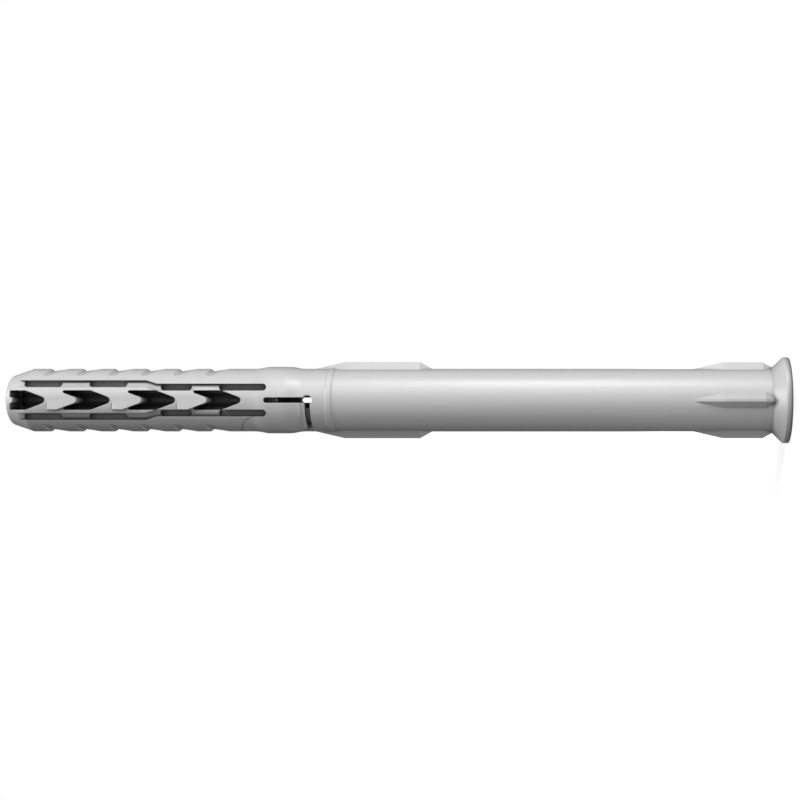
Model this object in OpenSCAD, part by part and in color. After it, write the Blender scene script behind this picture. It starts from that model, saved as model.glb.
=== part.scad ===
// Sleeve of a frame fixing, moulded in one piece, without its screw.
// The sleeve stands on its head: the head's flat face is at z = 0 and the tip points up.
// Its marked side, with the chevron windows, looks towards -Y, and its back is the same turned half round.

/* [Length] */
// Length from the head's face to the tip
fixing_l = 120; // [100:1:200]
// Length of the part that grips the wall, from the tip to the depth ring
anchor_l = 50; // [45:0.5:70]

/* [Shaft] */
// Diameter of the shaft
shaft_d = 9.73; // [9.6:0.01:9.9]
// Height of the depth ring over the shaft
ring_rise = 0.1; // [0.04:0.01:0.2]
// Width of the depth ring along the shaft
ring_w = 1.05; // [0.6:0.05:1.6]
// Length of the depth ring's chamfers
ring_chamfer = 0.18; // [0.1:0.01:0.25]

/* [Head] */
// Diameter of the head
head_d = 13.34; // [12.8:0.02:15]
// Height of the head's plain rim
rim_h = 0.92; // [0.6:0.02:2]
// Angle of the head's underside against the axis
head_angle = 45; // [35:1:60]
// Rounding of the head's outer edges
head_edge_r = 0.2; // [0.05:0.01:0.25]

/* [Screw passage] */
// Bore of the shaft, which the screw passes freely
bore_d = 7.2; // [6.6:0.1:7.6]
// Mouth of the countersink for the screw's head
sink_d = 11; // [9.5:0.1:11.8]
// Angle of the countersink against the axis
sink_angle = 45; // [35:1:60]
// Bore of the gripping part, which the screw spreads
grip_bore_d = 2.2; // [1.8:0.1:2.4]
// Closed end that the screw pierces, between the narrow bore and the tip's face
tip_wall = 1.1; // [1:0.1:2]
// Distance from the depth ring to the end of the wide bore
wide_bore_end = 7.9; // [7.4:0.1:8.2]
// Angle of the step between the two bores against the axis
bore_step_angle = 30; // [25:1:60]

/* [Wings] */
// Height of a wing over the shaft
wing_rise = 1.03; // [0.5:0.01:1.4]
// Width of a wing's crest
wing_crest_w = 0.45; // [0.2:0.05:0.8]
// Slope of a wing's flanks, sideways for each unit down
wing_flank = 0.85; // [0.5:0.05:1.2]
// Angle at which a wing's front runs in
wing_front_angle = 13; // [9:0.5:20]
// Angle at which a wing's back falls
wing_back_angle = 29; // [24:1:45]
// Distance from the head's face to the back end of the head wings' crest
head_wing_z = 3.95; // [3.5:0.05:5]
// Length of the head wings' crest
head_wing_l = 6.2; // [3:0.1:12]
// Distance from the depth ring to the front end of the middle wings' crest
mid_wing_back = 1.35; // [0.5:0.05:3]
// Length of the middle wings' crest
mid_wing_l = 11.6; // [6:0.1:20]

/* [Collar] */
// Height of the collar over the shaft
collar_rise = 0.31; // [0.15:0.01:0.45]
// Distance from the depth ring to the middle of the collar's head-side slope
collar_near = 6; // [5.6:0.1:6.5]
// Distance from the depth ring to the middle of the collar's tip-side slope
collar_far = 11.3; // [10.8:0.1:11.8]
// Length of each slope of the collar
collar_slope_l = 2.4; // [1.6:0.1:2.8]

/* [Tip] */
// Length of the taper at the tip
tip_l = 3.3; // [2:0.1:4]
// Angle of the taper against the axis
tip_angle = 19; // [14:0.5:22]
// Rounding of the tip's outer edge
tip_edge_r = 0.7; // [0.3:0.05:0.9]
// Closed ring between the tip's face and the first window
tip_ring_l = 0.85; // [0.6:0.05:0.95]

/* [Barbs] */
// Distance from one barb to the next
barb_pitch = 4.96; // [4.8:0.02:5.1]
// Distance from the tip to the end of the first barb's crest
first_barb = 5.68; // [5.4:0.02:6.2]
// Depth of the notches between the barbs
barb_depth = 0.33; // [0.2:0.01:0.5]
// Length of a barb's steep face
barb_fall_l = 0.46; // [0.36:0.02:0.8]
// Length of the level floor of a notch
barb_floor_l = 0.36; // [0.2:0.02:0.6]
// Length of a barb's ramp
barb_ramp_l = 2.24; // [1.6:0.02:2.6]
// Distance of the notches' own axis beyond the sleeve's axis
barb_offset = 1.8; // [1.5:0.05:3]

/* [Windows] */
// Width of the chevron windows
window_w = 2.96; // [2.4:0.02:3.2]
// Angle of the chevrons' slanted edges against the axis
chevron_angle = 20.5; // [19:0.5:24]
// Distance from the tip to the first window's nose
first_nose = 6.54; // [6.3:0.02:6.7]
// Length of a window along the middle, from the web's point to the nose
window_l = 5.15; // [4.4:0.05:5.4]
// Rounding of the windows' noses
nose_r = 0.52; // [0.3:0.02:0.7]
// Rounding of the webs' points
web_point_r = 0.5; // [0.3:0.02:0.7]
// Rounding of the windows' sharp corners
window_corner_r = 0.2; // [0.1:0.02:0.25]
// Distance by which all that is cut into the back sits nearer the head, so that no window faces another
back_shift = 3.9; // [3.6:0.1:4.2]
// Gap between a window's nose and the pad on the web after it
pad_gap = 0.36; // [0.2:0.02:0.6]
// Tilt of the pads' faces
pad_tilt = 6; // [4:0.5:8]

/* [Side grooves] */
// Width of a side groove
groove_w = 1.04; // [0.8:0.02:1.2]
// Rail left between a window and its side groove, from the tip to the bend
groove_rail = 0.49; // [0.4:0.01:0.6]
// Distance from the tip to the groove's bend
groove_bend = 21.7; // [20:0.1:22]
// Length of the bend
groove_bend_l = 1.7; // [1.2:0.1:2.2]
// Depth of a side groove
groove_depth = 0.4; // [0.2:0.05:0.6]
// Depth of the pockets in the groove, from the shaft's crown
pocket_depth = 1.95; // [1.6:0.05:2.2]
// Distance by which a pocket starts before the window's nose
pocket_lead = 3.5; // [3.1:0.05:3.7]
// Distance by which a pocket ends after the window's nose
pocket_tail = 2.3; // [1.8:0.05:2.8]

/* [Corner slot] */
// Width of the slot along the axis
slot_w = 0.82; // [0.6:0.02:1]
// Length of the slot, from its end to the relief hole
slot_l = 6.55; // [6.2:0.05:6.8]
// Distance from the depth ring to the relief hole
hole_back = 3.65; // [3.4:0.05:4]
// Diameter of the relief hole
hole_d = 1.48; // [1.2:0.02:1.8]
// Width of the slot round the shaft
cross_slot_w = 0.86; // [0.6:0.02:0.96]
// Angle that the slot round the shaft reaches
cross_slot_angle = 73; // [55:1:78]
// Width over which the slot round the shaft is cut right through
cross_slot_through = 1.2; // [0.9:0.05:1.5]
// Chamfer on the flap's end
flap_chamfer = 0.55; // [0.3:0.05:0.7]
// Height of the flap over its surroundings
flap_rise = 0.12; // [0.05:0.01:0.16]

/* [Hidden] */
$fn = 96;

shaft_r = shaft_d / 2;
head_r = head_d / 2;
bore_r = bore_d / 2;
grip_bore_r = grip_bore_d / 2;
sink_r = sink_d / 2;

// Cutters reach this far past the faces that they cut
over = 1;
// Half extent of a cutter that covers the whole section
reach = head_r + over;
// Facets of a smooth slope, and of an arc: a larger one has more
slope_steps = 4;
arc_steps_min = 2;
arc_steps_rate = 6;

ring_z = fixing_l - anchor_l;
cone_z = rim_h + (head_r - shaft_r) / tan(head_angle);
sink_h = (sink_r - bore_r) / tan(sink_angle);
tip_face_r = shaft_r - tip_l * tan(tip_angle);

wide_end_z = ring_z + wide_bore_end;
grip_start_z = wide_end_z + (bore_r - grip_bore_r) / tan(bore_step_angle);
grip_end_z = fixing_l - tip_wall;

hole_z = ring_z + hole_back;
slot_end_z = hole_z + slot_l;
collar_near_z = ring_z + collar_near;
collar_far_z = ring_z + collar_far;

// Windows repeat on every second barb, and both stop short of the collar
window_pitch = 2 * barb_pitch;
nose_margin = 1.6;
last_nose = fixing_l - collar_far_z - nose_margin;
window_count = floor((last_nose - first_nose) / window_pitch) + 1;
barb_end_margin = 2;
last_barb = fixing_l - collar_far_z - barb_floor_l - barb_ramp_l - barb_end_margin;
barb_count = floor((last_barb - first_barb) / barb_pitch) + 1;
window_half = window_w / 2;

// The pads' faces just cut the shaft's surface, and end where they meet it
pad_sink = 0.01;
pad_low = window_half - 0.06;
pad_high = 0.6;
pad_root = shaft_r - 0.7;
pad_over = 0.03;

// The side groove runs out through the tip and ends beside the slot
groove_end = fixing_l - slot_end_z + 0.35;
groove_lap = 0.03;
groove_low_outer = window_half + groove_rail;
groove_low_inner = window_half - groove_lap;
groove_floor_r = shaft_r - groove_depth;
pocket_floor = shaft_r - pocket_depth;
pocket_after_bend = 0.5;

// The slot is open to the wide bore only, and the slot round the shaft stays outside the bore
slot_floor = bore_r - 0.4;
cross_floor_r = bore_r + 0.2;
flap_chamfer_depth = flap_chamfer / 2;

function unit(v) = v / norm(v);

function turn(angle) = angle > 180 ? angle - 360 : angle < -180 ? angle + 360 : angle;

function arc_steps(r) = max(arc_steps_min, ceil(arc_steps_rate * r));

// Points of the arc of radius r that rounds the corner b between its neighbours a and c
function corner(a, b, c, r) =
    let (
        steps = arc_steps(r),
        u = unit(a - b),
        v = unit(c - b),
        half = acos(u * v) / 2,
        centre = b + unit(u + v) * r / sin(half),
        from = b + u * r / tan(half) - centre,
        to = b + v * r / tan(half) - centre,
        start = atan2(from[1], from[0]),
        sweep = turn(atan2(to[1], to[0]) - start)
    )
    r == 0 ? [b] : [for (i = [0:steps])
        centre + r * [cos(start + sweep * i / steps), sin(start + sweep * i / steps)]];

// Outline whose corners are rounded: each entry is a corner point and its radius
function rounded(corners) =
    let (n = len(corners))
    [for (i = [0:n - 1])
        each corner(corners[(i + n - 1) % n][0], corners[i][0], corners[(i + 1) % n][0], corners[i][1])];

// Points of a smooth slope of the outline from radius r0 at z0 to radius r1 at z1
function slope(z0, r0, z1, r1) =
    [for (i = [0:slope_steps])
        [r0 + (r1 - r0) * (1 - cos(180 * i / slope_steps)) / 2, z0 + (z1 - z0) * i / slope_steps]];

function nose_t(k) = first_nose + k * window_pitch;

function point_t(k) = nose_t(k) - window_l;

// Where the straight edges of a rounded point of radius r would meet
function apex(t, r) = t + r * (1 / sin(chevron_angle) - 1);

function slant_run(v) = v / tan(chevron_angle);

// Half outline of the sleeve before anything is cut into it
function body_outline() = [
    [0, 0],
    each corner([0, 0], [head_r, 0], [head_r, rim_h], head_edge_r),
    each corner([head_r, 0], [head_r, rim_h], [shaft_r, cone_z], head_edge_r),
    [shaft_r, cone_z],
    [shaft_r, ring_z],
    [shaft_r + ring_rise, ring_z + ring_chamfer],
    [shaft_r + ring_rise, ring_z + ring_w - ring_chamfer],
    [shaft_r, ring_z + ring_w],
    each slope(collar_near_z - collar_slope_l / 2, shaft_r,
               collar_near_z + collar_slope_l / 2, shaft_r + collar_rise),
    each slope(collar_far_z - collar_slope_l / 2, shaft_r + collar_rise,
               collar_far_z + collar_slope_l / 2, shaft_r),
    [shaft_r, fixing_l - tip_l],
    each corner([shaft_r, fixing_l - tip_l], [tip_face_r, fixing_l], [0, fixing_l], tip_edge_r),
    [0, fixing_l],
];

// Turned body with that outline, grown outwards by rise
module turned_body(rise = 0) {
    rotate_extrude()
    polygon([for (p = body_outline()) [p[0] == 0 ? 0 : p[0] + rise, p[1]]]);
}

function barb_z(k) = fixing_l - first_barb - k * barb_pitch;

// Rings from each barb's steep face to beyond its notch's ramp, where the notches may be cut
module notch_rings() {
    lift = 0.08;
    fall_over = barb_fall_l * lift / barb_depth;
    bottom = shaft_r - barb_depth - lift;
    rotate_extrude()
    for (k = [0:barb_count - 1]) {
        z = barb_z(k);
        ramp_end = z - barb_fall_l - barb_floor_l - barb_ramp_l - lift;
        polygon([
            [bottom, ramp_end],
            [reach, ramp_end],
            [reach, z + fall_over],
            [shaft_r + lift, z + fall_over],
            [bottom, z - barb_fall_l - fall_over],
        ]);
    }
}

// Solid around an axis beyond the sleeve's own, whose surface makes the notches' floors and ramps
module notch_floors(side) {
    crest = barb_offset + shaft_r;
    lift = 0.16;
    ramp_over = barb_ramp_l * lift / barb_depth;
    translate([-side * barb_offset, 0, 0])
    rotate_extrude()
    polygon([
        [0, -over],
        [crest + lift, -over],
        for (k = [barb_count - 1:-1:0])
            let (z = barb_z(k), floor_z = z - barb_fall_l - barb_floor_l)
            each [
                [crest + lift, floor_z - barb_ramp_l - ramp_over],
                [crest - barb_depth, floor_z],
                [crest - barb_depth, z + lift],
                [crest + lift, z + lift + ramp_over / 4],
            ],
        [crest + lift, fixing_l + over],
        [0, fixing_l + over],
    ]);
}

// Notches between the barbs, deepest at the top and bottom of the photographed side
module notches() {
    difference() {
        notch_rings();
        intersection() {
            notch_floors(1);
            notch_floors(-1);
        }
    }
}

// Long prism of a wing's section, whose crest passes over the shaft at z and leans outwards by angle
module wing_prism(z, angle, depth) {
    half = wing_crest_w / 2;
    flank = wing_flank * depth / cos(angle);
    translate([shaft_r + wing_rise, 0, z])
    rotate([0, angle, 0])
    translate([0, 0, -fixing_l])
    linear_extrude(2 * fixing_l)
    polygon([
        [0, half],
        [0, -half],
        [-depth, -half - flank],
        [-depth, half + flank],
    ]);
}

// Wing along the shaft, pointing towards +X, with its crest from z to z + crest_l
module wing(z, crest_l) {
    buried = 0.5;
    intersection() {
        wing_prism(z, 0, wing_rise + buried);
        wing_prism(z, wing_back_angle, fixing_l);
        wing_prism(z + crest_l, -wing_front_angle, fixing_l);
    }
}

module wings() {
    for (angle = [0:90:270])
        rotate([0, 0, angle])
        wing(head_wing_z, head_wing_l);
    for (angle = [0, 180])
        rotate([0, 0, angle])
        wing(ring_z - mid_wing_back - mid_wing_l, mid_wing_l);
}

// Turns a drawing so that its x is the distance from the tip, its y is +X, and it grows out towards -Y.
// The drawing is moved towards the head by shift.
module on_front(shift) {
    translate([0, 0, fixing_l - shift])
    rotate([0, 90, -90])
    children();
}

// Chevron window number k
module window(k) {
    nose = apex(nose_t(k), nose_r);
    point = apex(point_t(k), web_point_r);
    polygon(rounded([
        [[point - slant_run(window_half), window_half], window_corner_r],
        [[point, 0], web_point_r],
        [[point - slant_run(window_half), -window_half], window_corner_r],
        [[nose - slant_run(window_half), -window_half], 0],
        [[nose, 0], nose_r],
        [[nose - slant_run(window_half), window_half], 0],
    ]));
}

module windows(shift) {
    on_front(shift)
    linear_extrude(reach)
    intersection() {
        for (k = [0:window_count - 1])
            window(k);
        translate([tip_ring_l - shift, -reach])
        square([fixing_l, 2 * reach]);
    }
}

// Pads on the webs between the windows, with flat tilted faces that stand out on one side
module pads(shift) {
    intersection() {
        on_front(shift)
        translate([0, 0, pad_root])
        linear_extrude(reach)
        for (k = [1:window_count - 1]) {
            start = nose_t(k - 1) + pad_gap;
            point = apex(point_t(k), web_point_r) + pad_over;
            polygon(rounded([
                [[start, pad_high], 0],
                [[start, -pad_low], 0],
                [[point - slant_run(pad_low), -pad_low], 0],
                [[point, 0], web_point_r],
                [[point - slant_run(pad_high), pad_high], 0],
            ]));
        }
        rotate([0, 0, pad_tilt])
        translate([-reach, pad_sink - shaft_r, 0])
        cube([2 * reach, reach, fixing_l]);
    }
}

// Outline of the side groove above the windows, which runs out past the tip on both sides
module groove_outline() {
    start = -over - back_shift;
    bend_end = groove_bend + groove_bend_l;
    straight_end = groove_end - groove_w / 2;
    polygon([
        [start, groove_low_outer],
        [groove_bend, groove_low_outer],
        [bend_end, groove_low_inner],
        [straight_end, groove_low_inner],
        [straight_end, groove_low_inner + groove_w],
        [bend_end, groove_low_inner + groove_w],
        [groove_bend, groove_low_outer + groove_w],
        [start, groove_low_outer + groove_w],
    ]);
    translate([straight_end, groove_low_inner + groove_w / 2])
    circle(d = groove_w);
}

// Outline with round ends, from start to end along x, of width w about the height y
module round_slot(start, end, y, w) {
    translate([start + w / 2, y - w / 2])
    square([end - start - w, w]);
    for (x = [start + w / 2, end - w / 2])
        translate([x, y])
        circle(d = w);
}

// Pockets in the side groove, one beside each window's nose
module pocket_outlines() {
    bend_end = groove_bend + groove_bend_l;
    for (k = [0:window_count - 1]) {
        last = k == window_count - 1;
        inner = nose_t(k) > groove_bend;
        low = inner ? groove_low_inner : groove_low_outer;
        start = nose_t(k) - pocket_lead;
        end = last ? groove_end : nose_t(k) + pocket_tail;
        round_slot(inner ? max(start, bend_end + pocket_after_bend) : start, end, low + groove_w / 2, groove_w);
    }
}

module side_grooves(shift) {
    for (flip = [0, 1])
        mirror([flip, 0, 0]) {
            difference() {
                on_front(shift)
                linear_extrude(reach)
                groove_outline();
                translate([0, 0, -over])
                cylinder(h = fixing_l + 2 * over, r = groove_floor_r);
            }
            on_front(shift)
            translate([0, 0, pocket_floor])
            linear_extrude(reach)
            pocket_outlines();
        }
}

// Wedge from the front towards -X, which bounds the slot round the shaft
module slot_wedge(z, h) {
    size = 2 * reach;
    translate([0, 0, z])
    linear_extrude(h)
    polygon([
        [0, 0],
        [0, -size],
        [-size * sin(cross_slot_angle / 2), -size * cos(cross_slot_angle / 2)],
        [-size * sin(cross_slot_angle), -size * cos(cross_slot_angle)],
    ]);
}

// Slot along the axis, its relief hole, and the slot round the shaft that frees the flap
module corner_slot(shift) {
    low = hole_z - shift - cross_slot_w / 2;
    on_front(shift)
    translate([0, 0, slot_floor])
    linear_extrude(reach)
    round_slot(fixing_l - slot_end_z, fixing_l - hole_z + slot_w / 2, 0, slot_w);
    translate([0, 0, hole_z - shift])
    rotate([90, 0, 0])
    cylinder(h = reach, d = hole_d);
    translate([-cross_slot_through, -reach, low])
    cube([cross_slot_through, reach, cross_slot_w]);
    intersection() {
        rotate_extrude()
        polygon([
            [cross_floor_r, low],
            [reach, low],
            [reach, low + cross_slot_w + flap_chamfer],
            [shaft_r, low + cross_slot_w + flap_chamfer],
            [shaft_r - flap_chamfer_depth, low + cross_slot_w],
            [cross_floor_r, low + cross_slot_w],
        ]);
        slot_wedge(low - over, cross_slot_w + flap_chamfer + 2 * over);
    }
}

// Flap beside the slot, a little proud of the collar, with a slanted edge towards the tip
module flap(shift) {
    hinge = fixing_l - slot_end_z + 0.45;
    low = hole_z - cross_slot_w / 2;
    edge_v = shaft_r * sin(cross_slot_angle - 2);
    intersection() {
        turned_body(flap_rise);
        on_front(shift)
        translate([0, 0, over])
        linear_extrude(reach)
        polygon([
            [hinge, -slot_w / 4],
            [hinge - 1.9, -2.55],
            [hinge - 3.5, -3.1],
            [hinge - 4.4, -edge_v],
            [fixing_l - low, -edge_v],
            [fixing_l - low, -slot_w / 4],
        ]);
    }
}

module screw_passage() {
    translate([0, 0, -over])
    cylinder(h = wide_end_z + over, r = bore_r);
    translate([0, 0, wide_end_z])
    cylinder(h = grip_start_z - wide_end_z, r1 = bore_r, r2 = grip_bore_r);
    cylinder(h = grip_end_z, r = grip_bore_r);
    cylinder(h = sink_h, r1 = sink_r, r2 = bore_r);
}

module sleeve() {
    color([0.80, 0.80, 0.80])
    difference() {
        union() {
            difference() {
                turned_body();
                notches();
            }
            wings();
            for (back = [0, 1])
                rotate([0, 0, 180 * back]) {
                    flap(back * back_shift);
                    pads(back * back_shift);
                }
        }
        screw_passage();
        for (back = [0, 1])
            rotate([0, 0, 180 * back]) {
                windows(back * back_shift);
                side_grooves(back * back_shift);
                corner_slot(back * back_shift);
            }
    }
}

sleeve();
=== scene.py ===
"""Looks of a frame fixing's sleeve: one grey nylon moulding, stood on its head on a white table."""

import bmesh
import bpy
from mathutils import Matrix, Vector


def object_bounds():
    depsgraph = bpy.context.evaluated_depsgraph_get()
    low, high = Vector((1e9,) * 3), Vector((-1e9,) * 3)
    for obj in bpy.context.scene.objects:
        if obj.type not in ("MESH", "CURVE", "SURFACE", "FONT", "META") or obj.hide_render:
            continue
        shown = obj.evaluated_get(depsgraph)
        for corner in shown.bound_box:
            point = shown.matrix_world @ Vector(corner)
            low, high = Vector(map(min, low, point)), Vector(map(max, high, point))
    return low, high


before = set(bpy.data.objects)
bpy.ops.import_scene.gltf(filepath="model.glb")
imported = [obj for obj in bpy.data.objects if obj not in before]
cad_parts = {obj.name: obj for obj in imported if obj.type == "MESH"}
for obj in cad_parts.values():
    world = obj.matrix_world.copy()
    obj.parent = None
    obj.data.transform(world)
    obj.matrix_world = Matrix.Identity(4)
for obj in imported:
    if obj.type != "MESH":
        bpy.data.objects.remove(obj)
cad_low, cad_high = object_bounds()

MM = 0.001
LENGTH = cad_high.z - cad_low.z

# Camera, square on to the sleeve, which lies on its side in the picture with its tip to the left
IMAGE_SIZE = 800
SENSOR = 36.0
FOCAL_PIXELS = 1450.0
CAMERA_DISTANCE = 224.95 * MM
CAMERA_HEIGHT = 29.15 * MM
CAMERA_CLIP = (0.01, 20.0)

# Pixel at which the camera looks, counted from the picture's top left corner
VIEW_CENTRE_PIXEL = (600.0, 400.15)

# Moulded nylon, with its roughness on faces seen square on and on slanted ones
NYLON_GREY = 0.55
NYLON_IOR = 1.53
NYLON_SPECULAR = 0.60
NYLON_ROUGHNESS = (0.40, 0.90)
NYLON_SLANT = (0.30, 0.70)
SLANT_BLEND = 0.5

# Tinted coat with almost no gloss of its own, which paints shade on slanted faces, darker towards
# the outline
SLANT_SHADE_WEIGHT = 1.0
SLANT_SHADE_TINT = 0.79
SLANT_SHADE_IOR = 1.02

# Faint flow marks, as shares of the grey and of the roughness
FLOW_SCALE = 90.0
FLOW_DETAIL = 3.0
FLOW_SHADES = (0.985, 1.015)
FLOW_ROUGHNESSES = (0.94, 1.06)

# Moulded grain and softly rounded edges
GRAIN_SCALE = 2500.0
GRAIN_DETAIL = 2.0
GRAIN_STRENGTH = 0.04
GRAIN_HEIGHT = 0.02 * MM
EDGE_RADIUS = 0.17 * MM
EDGE_SAMPLES = 8

# Painted shade in the colour: deep recesses and the feet of steps are darkened by how open the
# surface is within a reach
OPENNESS_SAMPLES = 16
RECESS_REACH = 12 * MM
RECESS_OPENNESS = (0.04, 0.3)
RECESS_SHADE = 0.12
CREVICE_REACH = 0.9 * MM
CREVICE_OPENNESS = (0.62, 0.96)
CREVICE_SHADE = 0.28

# Studio. The table's glow rises from its first value to its second between the two radii
SURROUND_STRENGTH = 0.02
TABLE_REFLECTANCE = 0.45
TABLE_RADIUS = 4.0
TABLE_SIDES = 96
TABLE_GLOW = (0.5, 1.0)
TABLE_GLOW_RADII = (0.1, 0.5)


def grey(level):
    """An opaque colour with the same red, green and blue."""
    return (level, level, level, 1.0)


def new_material(name):
    """A material with an empty node tree and its output node."""
    material = bpy.data.materials.new(name)
    material.use_nodes = True
    nodes = material.node_tree.nodes
    nodes.clear()
    return material, nodes, material.node_tree.links, nodes.new("ShaderNodeOutputMaterial")


def mapped(nodes, links, value, from_range, to_range):
    """The value mapped from one range to another, held at the ends."""
    node = nodes.new("ShaderNodeMapRange")
    node.inputs["From Min"].default_value, node.inputs["From Max"].default_value = from_range
    node.inputs["To Min"].default_value, node.inputs["To Max"].default_value = to_range
    links.new(value, node.inputs["Value"])
    return node.outputs["Result"]


def combined(nodes, links, operation, first, second):
    """Two values combined by an operation of the Math node."""
    node = nodes.new("ShaderNodeMath")
    node.operation = operation
    links.new(first, node.inputs[0])
    links.new(second, node.inputs[1])
    return node.outputs["Value"]


def product(nodes, links, first, second):
    """Two values multiplied."""
    return combined(nodes, links, "MULTIPLY", first, second)


def larger(nodes, links, first, second):
    """The larger of two values."""
    return combined(nodes, links, "MAXIMUM", first, second)


def noise(nodes, links, place, scale, detail):
    """A noise pattern on the sleeve's own coordinates."""
    pattern = nodes.new("ShaderNodeTexNoise")
    pattern.inputs["Scale"].default_value = scale
    pattern.inputs["Detail"].default_value = detail
    links.new(place, pattern.inputs["Vector"])
    return pattern.outputs["Fac"]


def openness(nodes, links, reach, open_range, shade):
    """A painted-shade factor, from shade, where what lies within reach closes the surface in, to 1,
    where it is open.
    """
    sky = nodes.new("ShaderNodeAmbientOcclusion")
    sky.samples = OPENNESS_SAMPLES
    sky.inputs["Distance"].default_value = reach
    return mapped(nodes, links, sky.outputs["AO"], open_range, (shade, 1))


def painted_hollow_shade(nodes, links):
    """Painted shade: a colour factor that is less than 1 in deep recesses and at the feet of steps.
    """
    recess = openness(nodes, links, RECESS_REACH, RECESS_OPENNESS, RECESS_SHADE)
    crevice = openness(nodes, links, CREVICE_REACH, CREVICE_OPENNESS, CREVICE_SHADE)
    return product(nodes, links, recess, crevice)


def satin(nodes, links):
    """Roughness that rises as a face slants away."""
    slant = nodes.new("ShaderNodeLayerWeight")
    slant.inputs["Blend"].default_value = SLANT_BLEND
    return mapped(nodes, links, slant.outputs["Facing"], NYLON_SLANT, NYLON_ROUGHNESS)


def grained_normal(nodes, links, place):
    """The surface's direction, with the edges rounded and the grain on top."""
    soft_edge = nodes.new("ShaderNodeBevel")
    soft_edge.samples = EDGE_SAMPLES
    soft_edge.inputs["Radius"].default_value = EDGE_RADIUS
    bump = nodes.new("ShaderNodeBump")
    bump.inputs["Strength"].default_value = GRAIN_STRENGTH
    bump.inputs["Distance"].default_value = GRAIN_HEIGHT
    links.new(noise(nodes, links, place, GRAIN_SCALE, GRAIN_DETAIL), bump.inputs["Height"])
    links.new(soft_edge.outputs["Normal"], bump.inputs["Normal"])
    return bump.outputs["Normal"]


def moulded_nylon():
    """Satin grey nylon, flow marks, fine grain, soft edges; painted shade in hollows and on slanted
    faces.
    """
    material, nodes, links, output = new_material("moulded_nylon")
    surface = nodes.new("ShaderNodeBsdfPrincipled")
    surface.inputs["IOR"].default_value = NYLON_IOR
    surface.inputs["Specular IOR Level"].default_value = NYLON_SPECULAR
    # The tinted coat paints shade on slanted faces, darker towards the outline
    surface.inputs["Coat Weight"].default_value = SLANT_SHADE_WEIGHT
    surface.inputs["Coat IOR"].default_value = SLANT_SHADE_IOR
    surface.inputs["Coat Tint"].default_value = grey(SLANT_SHADE_TINT)

    place = nodes.new("ShaderNodeTexCoord").outputs["Object"]
    flow = noise(nodes, links, place, FLOW_SCALE, FLOW_DETAIL)
    shades = [NYLON_GREY * share for share in FLOW_SHADES]
    marbled = mapped(nodes, links, flow, (0, 1), shades)
    patchy = mapped(nodes, links, flow, (0, 1), FLOW_ROUGHNESSES)

    # Base colour: the flow-marked grey times painted shade in recesses and at the feet of steps
    links.new(product(nodes, links, marbled, painted_hollow_shade(nodes, links)), surface.inputs["Base Color"])
    links.new(product(nodes, links, satin(nodes, links), patchy), surface.inputs["Roughness"])
    links.new(grained_normal(nodes, links, place), surface.inputs["Normal"])
    links.new(surface.outputs["BSDF"], output.inputs["Surface"])
    return material


def seen_directly(nodes, links):
    """A value that is 1 on rays from the camera, and on reflections and rays through glass."""
    rays = nodes.new("ShaderNodeLightPath").outputs
    seen_in_object = larger(nodes, links, rays["Is Glossy Ray"], rays["Is Transmission Ray"])
    return larger(nodes, links, rays["Is Camera Ray"], seen_in_object)


def white_surround():
    """A world that lights the object dimly and is white where the camera sees it."""
    world = bpy.data.worlds.new("surround")
    bpy.context.scene.world = world
    world.use_nodes = True
    nodes, links = world.node_tree.nodes, world.node_tree.links
    nodes.clear()
    output = nodes.new("ShaderNodeOutputWorld")
    lighting = nodes.new("ShaderNodeBackground")
    lighting.inputs["Color"].default_value = grey(1.0)
    lighting.inputs["Strength"].default_value = SURROUND_STRENGTH
    seen = nodes.new("ShaderNodeBackground")
    seen.inputs["Color"].default_value = grey(1.0)
    seen.inputs["Strength"].default_value = 1.0
    mix = nodes.new("ShaderNodeMixShader")
    links.new(seen_directly(nodes, links), mix.inputs["Fac"])
    links.new(lighting.outputs["Background"], mix.inputs[1])
    links.new(seen.outputs["Background"], mix.inputs[2])
    links.new(mix.outputs["Shader"], output.inputs["Surface"])


def table_white():
    """Matt white table top. It glows where it is seen, less near the sleeve, whose shadow stays."""
    material, nodes, links, output = new_material("table_white")
    lit = nodes.new("ShaderNodeBsdfDiffuse")
    lit.inputs["Color"].default_value = grey(TABLE_REFLECTANCE)
    place = nodes.new("ShaderNodeTexCoord")
    radius = nodes.new("ShaderNodeVectorMath")
    radius.operation = "LENGTH"
    links.new(place.outputs["Object"], radius.inputs[0])
    glow = nodes.new("ShaderNodeEmission")
    glow.inputs["Color"].default_value = grey(1.0)
    strength = mapped(nodes, links, radius.outputs["Value"], TABLE_GLOW_RADII, TABLE_GLOW)
    links.new(product(nodes, links, strength, seen_directly(nodes, links)), glow.inputs["Strength"])
    both = nodes.new("ShaderNodeAddShader")
    links.new(lit.outputs["BSDF"], both.inputs[0])
    links.new(glow.outputs["Emission"], both.inputs[1])
    links.new(both.outputs["Shader"], output.inputs["Surface"])
    return material


def table():
    """Round white table top under the sleeve's head."""
    shape = bmesh.new()
    bmesh.ops.create_circle(shape, cap_ends=True, segments=TABLE_SIDES, radius=TABLE_RADIUS)
    bmesh.ops.translate(shape, verts=shape.verts, vec=(0, 0, cad_low.z))
    mesh = bpy.data.meshes.new("table")
    shape.to_mesh(mesh)
    shape.free()
    top = bpy.data.objects.new("table", mesh)
    bpy.context.scene.collection.objects.link(top)
    mesh.materials.append(table_white())


def aim(lamp, place, target):
    """Puts a lamp at a place and turns it towards a target."""
    lamp.location = place
    lamp.rotation_euler = (target - place).to_track_quat("-Z", "Y").to_euler()


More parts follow.
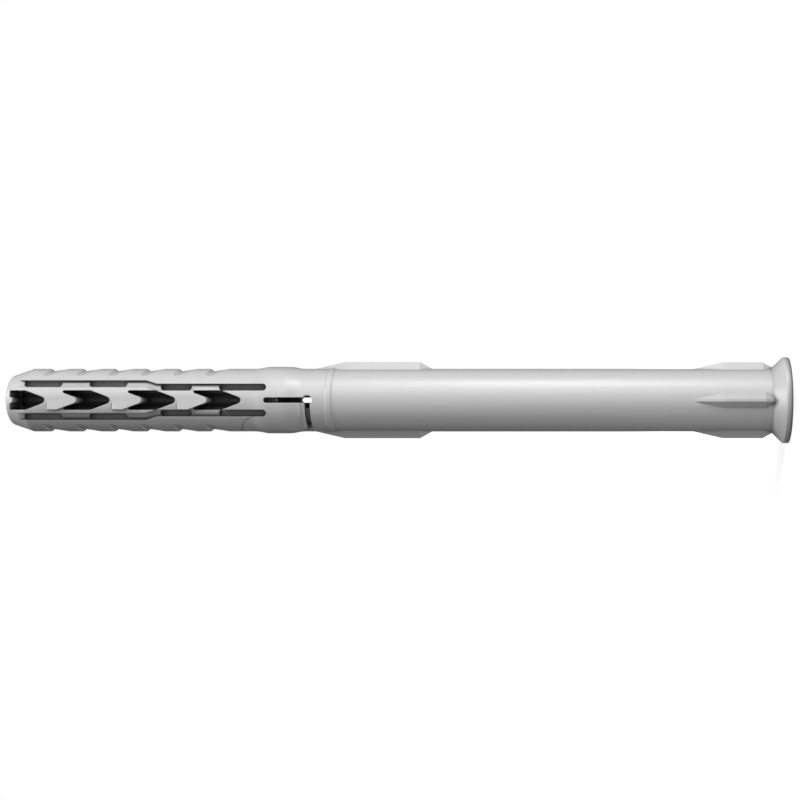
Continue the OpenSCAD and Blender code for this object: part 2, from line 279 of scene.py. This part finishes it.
def softbox(name, place, size, power):
    """Rectangular lamp that faces the middle of the sleeve, in metres and watts."""
    light = bpy.data.lights.new(name, "AREA")
    light.shape = "RECTANGLE"
    light.size, light.size_y = size
    light.energy = power
    lamp = bpy.data.objects.new(name, light)
    bpy.context.scene.collection.objects.link(lamp)
    aim(lamp, Vector(place), Vector((0, 0, cad_low.z + LENGTH / 2)))


def lights():
    """Two key and two low lamps over the sleeve in the picture, two off its tip, one behind."""
    softbox("key_strip", place=(0.36, -0.51, 0.32), size=(0.12, 0.50), power=1.15)
    softbox("key_box", place=(0.36, -0.51, 0.37), size=(0.12, 0.12), power=0.20)
    softbox("low_strip", place=(0.42, -0.42, 0.05), size=(0.30, 0.09), power=0.50)
    softbox("low_top_box", place=(0.53, -0.26, 0.06), size=(0.22, 0.09), power=2.40)
    softbox("side_tip_box", place=(0.16, -0.16, 0.66), size=(0.12, 0.12), power=2.20)
    softbox("tip_box", place=(0.00, -0.10, 0.65), size=(0.12, 0.12), power=1.10)
    softbox("back_box", place=(0.00, 0.36, 0.56), size=(0.40, 0.25), power=3.80)


def camera():
    """Camera that looks along +Y with +X upwards, its view shifted to the photograph's framing."""
    centre_x, centre_y = VIEW_CENTRE_PIXEL
    data = bpy.data.cameras.new("camera")
    data.sensor_width = SENSOR
    data.lens = FOCAL_PIXELS * SENSOR / IMAGE_SIZE
    data.shift_x = (IMAGE_SIZE / 2 - centre_x) / IMAGE_SIZE
    data.shift_y = (centre_y - IMAGE_SIZE / 2) / IMAGE_SIZE
    data.clip_start, data.clip_end = CAMERA_CLIP
    obj = bpy.data.objects.new("camera", data)
    bpy.context.scene.collection.objects.link(obj)
    right, up, back = Vector((0, 0, -1)), Vector((1, 0, 0)), Vector((0, -1, 0))
    turn = Matrix((right, up, back)).transposed().to_4x4()
    place = (0, -CAMERA_DISTANCE, cad_low.z + CAMERA_HEIGHT)
    obj.matrix_world = Matrix.Translation(place) @ turn
    bpy.context.scene.camera = obj


def dress_sleeve():
    """Gives the sleeve its nylon."""
    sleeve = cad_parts["sleeve"]
    sleeve.data.materials.clear()
    sleeve.data.materials.append(moulded_nylon())


camera()
lights()
white_surround()
table()
dress_sleeve()

bpy.context.scene.view_settings.view_transform = "Standard"
